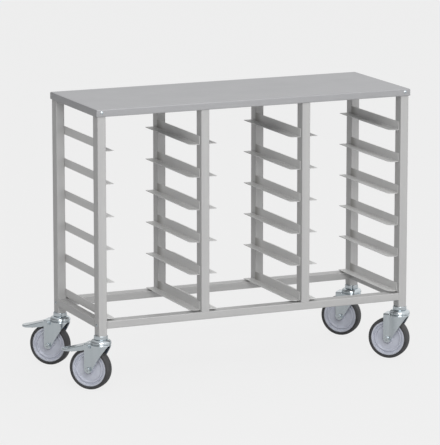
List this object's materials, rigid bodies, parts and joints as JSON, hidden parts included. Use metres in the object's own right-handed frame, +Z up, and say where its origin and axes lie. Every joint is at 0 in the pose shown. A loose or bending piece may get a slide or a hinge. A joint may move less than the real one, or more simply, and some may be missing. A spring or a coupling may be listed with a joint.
{
  "type": "tray return trolley",
  "caption": "Open tube-framed trolley with side-by-side bays of angle slides for serving trays under a flat folded sheet top, on swivel casters with brake pedals on the left pair.",
  "frame": {"origin": "on the floor, in the middle of the whole outline, wheels and brake pedals included", "axes": "+X along the width towards the end without brakes, +Y from front to back, +Z up"},
  "size_m": [1.1008, 0.4598, 0.8315],
  "materials": {
    "satin_steel": "satin stainless steel sheet and tube",
    "zinc": "bright zinc plate on pressed steel",
    "wheel_plastic": "pale blue-grey moulded plastic",
    "tyre_rubber": "dark grey rubber"
  },
  "bodies": {
    "frame": {"top_panel": "satin_steel", "post_front_left": "satin_steel", "post_front_right": "satin_steel", "post_rear_left": "satin_steel", "post_rear_right": "satin_steel", "mid_post_front_1": "satin_steel", "mid_post_front_2": "satin_steel", "mid_post_rear_1": "satin_steel", "mid_post_rear_2": "satin_steel", "rail_front": "satin_steel", "rail_rear": "satin_steel", "rail_left": "satin_steel", "rail_right": "satin_steel", "slides_bay1_left": "satin_steel", "slides_bay1_right": "satin_steel", "slides_bay2_left": "satin_steel", "slides_bay2_right": "satin_steel", "slides_bay3_left": "satin_steel", "slides_bay3_right": "satin_steel", "top_screws": "zinc", "plug_screws": "zinc", "stem_front_left": "zinc", "stem_front_right": "zinc", "stem_rear_left": "zinc", "stem_rear_right": "zinc", "housing_front_left": "zinc", "housing_front_right": "zinc", "housing_rear_left": "zinc", "housing_rear_right": "zinc", "balls_front_left": "zinc", "balls_front_right": "zinc", "balls_rear_left": "zinc", "balls_rear_right": "zinc"},
    "swivel_front_left": {"fork_front_left": "zinc", "axle_front_left": "zinc", "nut_front_left": "zinc", "pedal_rivets_front_left": "zinc"},
    "wheel_front_left": {"rim_front_left": "wheel_plastic", "tyre_front_left": "tyre_rubber"},
    "brake_front_left": {"pedal_front_left": "zinc", "brake_shoe_front_left": "tyre_rubber"},
    "swivel_front_right": {"fork_front_right": "zinc", "axle_front_right": "zinc", "nut_front_right": "zinc"},
    "wheel_front_right": {"rim_front_right": "wheel_plastic", "tyre_front_right": "tyre_rubber"},
    "swivel_rear_left": {"fork_rear_left": "zinc", "axle_rear_left": "zinc", "nut_rear_left": "zinc", "pedal_rivets_rear_left": "zinc"},
    "wheel_rear_left": {"rim_rear_left": "wheel_plastic", "tyre_rear_left": "tyre_rubber"},
    "brake_rear_left": {"pedal_rear_left": "zinc", "brake_shoe_rear_left": "tyre_rubber"},
    "swivel_rear_right": {"fork_rear_right": "zinc", "axle_rear_right": "zinc", "nut_rear_right": "zinc"},
    "wheel_rear_right": {"rim_rear_right": "wheel_plastic", "tyre_rear_right": "tyre_rubber"}
  },
  "joints": [
    {"name": "swivel_front_left_turn", "type": "hinge", "parent": "frame", "child": "swivel_front_left", "pos_m": [-0.45565, -0.19886, 0.1385], "axis": [0, 0, 1], "continuous": true},
    {"name": "wheel_front_left_spin", "type": "hinge", "parent": "swivel_front_left", "child": "wheel_front_left", "pos_m": [-0.47898, -0.17552, 0.0625], "axis": [0.7071, 0.7071, 0], "continuous": true},
    {"name": "brake_front_left_press", "type": "hinge", "parent": "swivel_front_left", "child": "brake_front_left", "pos_m": [-0.47969, -0.17481, 0.1305], "axis": [-0.7071, -0.7071, 0], "range_deg": [0, 10]},
    {"name": "swivel_front_right_turn", "type": "hinge", "parent": "frame", "child": "swivel_front_right", "pos_m": [0.51936, -0.19886, 0.1385], "axis": [0, 0, 1], "continuous": true},
    {"name": "wheel_front_right_spin", "type": "hinge", "parent": "swivel_front_right", "child": "wheel_front_right", "pos_m": [0.49602, -0.17552, 0.0625], "axis": [0.7071, 0.7071, 0], "continuous": true},
    {"name": "swivel_rear_left_turn", "type": "hinge", "parent": "frame", "child": "swivel_rear_left", "pos_m": [-0.45565, 0.13514, 0.1385], "axis": [0, 0, 1], "continuous": true},
    {"name": "wheel_rear_left_spin", "type": "hinge", "parent": "swivel_rear_left", "child": "wheel_rear_left", "pos_m": [-0.47898, 0.15848, 0.0625], "axis": [0.7071, 0.7071, 0], "continuous": true},
    {"name": "brake_rear_left_press", "type": "hinge", "parent": "swivel_rear_left", "child": "brake_rear_left", "pos_m": [-0.47969, 0.15919, 0.1305], "axis": [-0.7071, -0.7071, 0], "range_deg": [0, 10]},
    {"name": "swivel_rear_right_turn", "type": "hinge", "parent": "frame", "child": "swivel_rear_right", "pos_m": [0.51936, 0.13514, 0.1385], "axis": [0, 0, 1], "continuous": true},
    {"name": "wheel_rear_right_spin", "type": "hinge", "parent": "swivel_rear_right", "child": "wheel_rear_right", "pos_m": [0.49602, 0.15848, 0.0625], "axis": [0.7071, 0.7071, 0], "continuous": true}
  ]
}
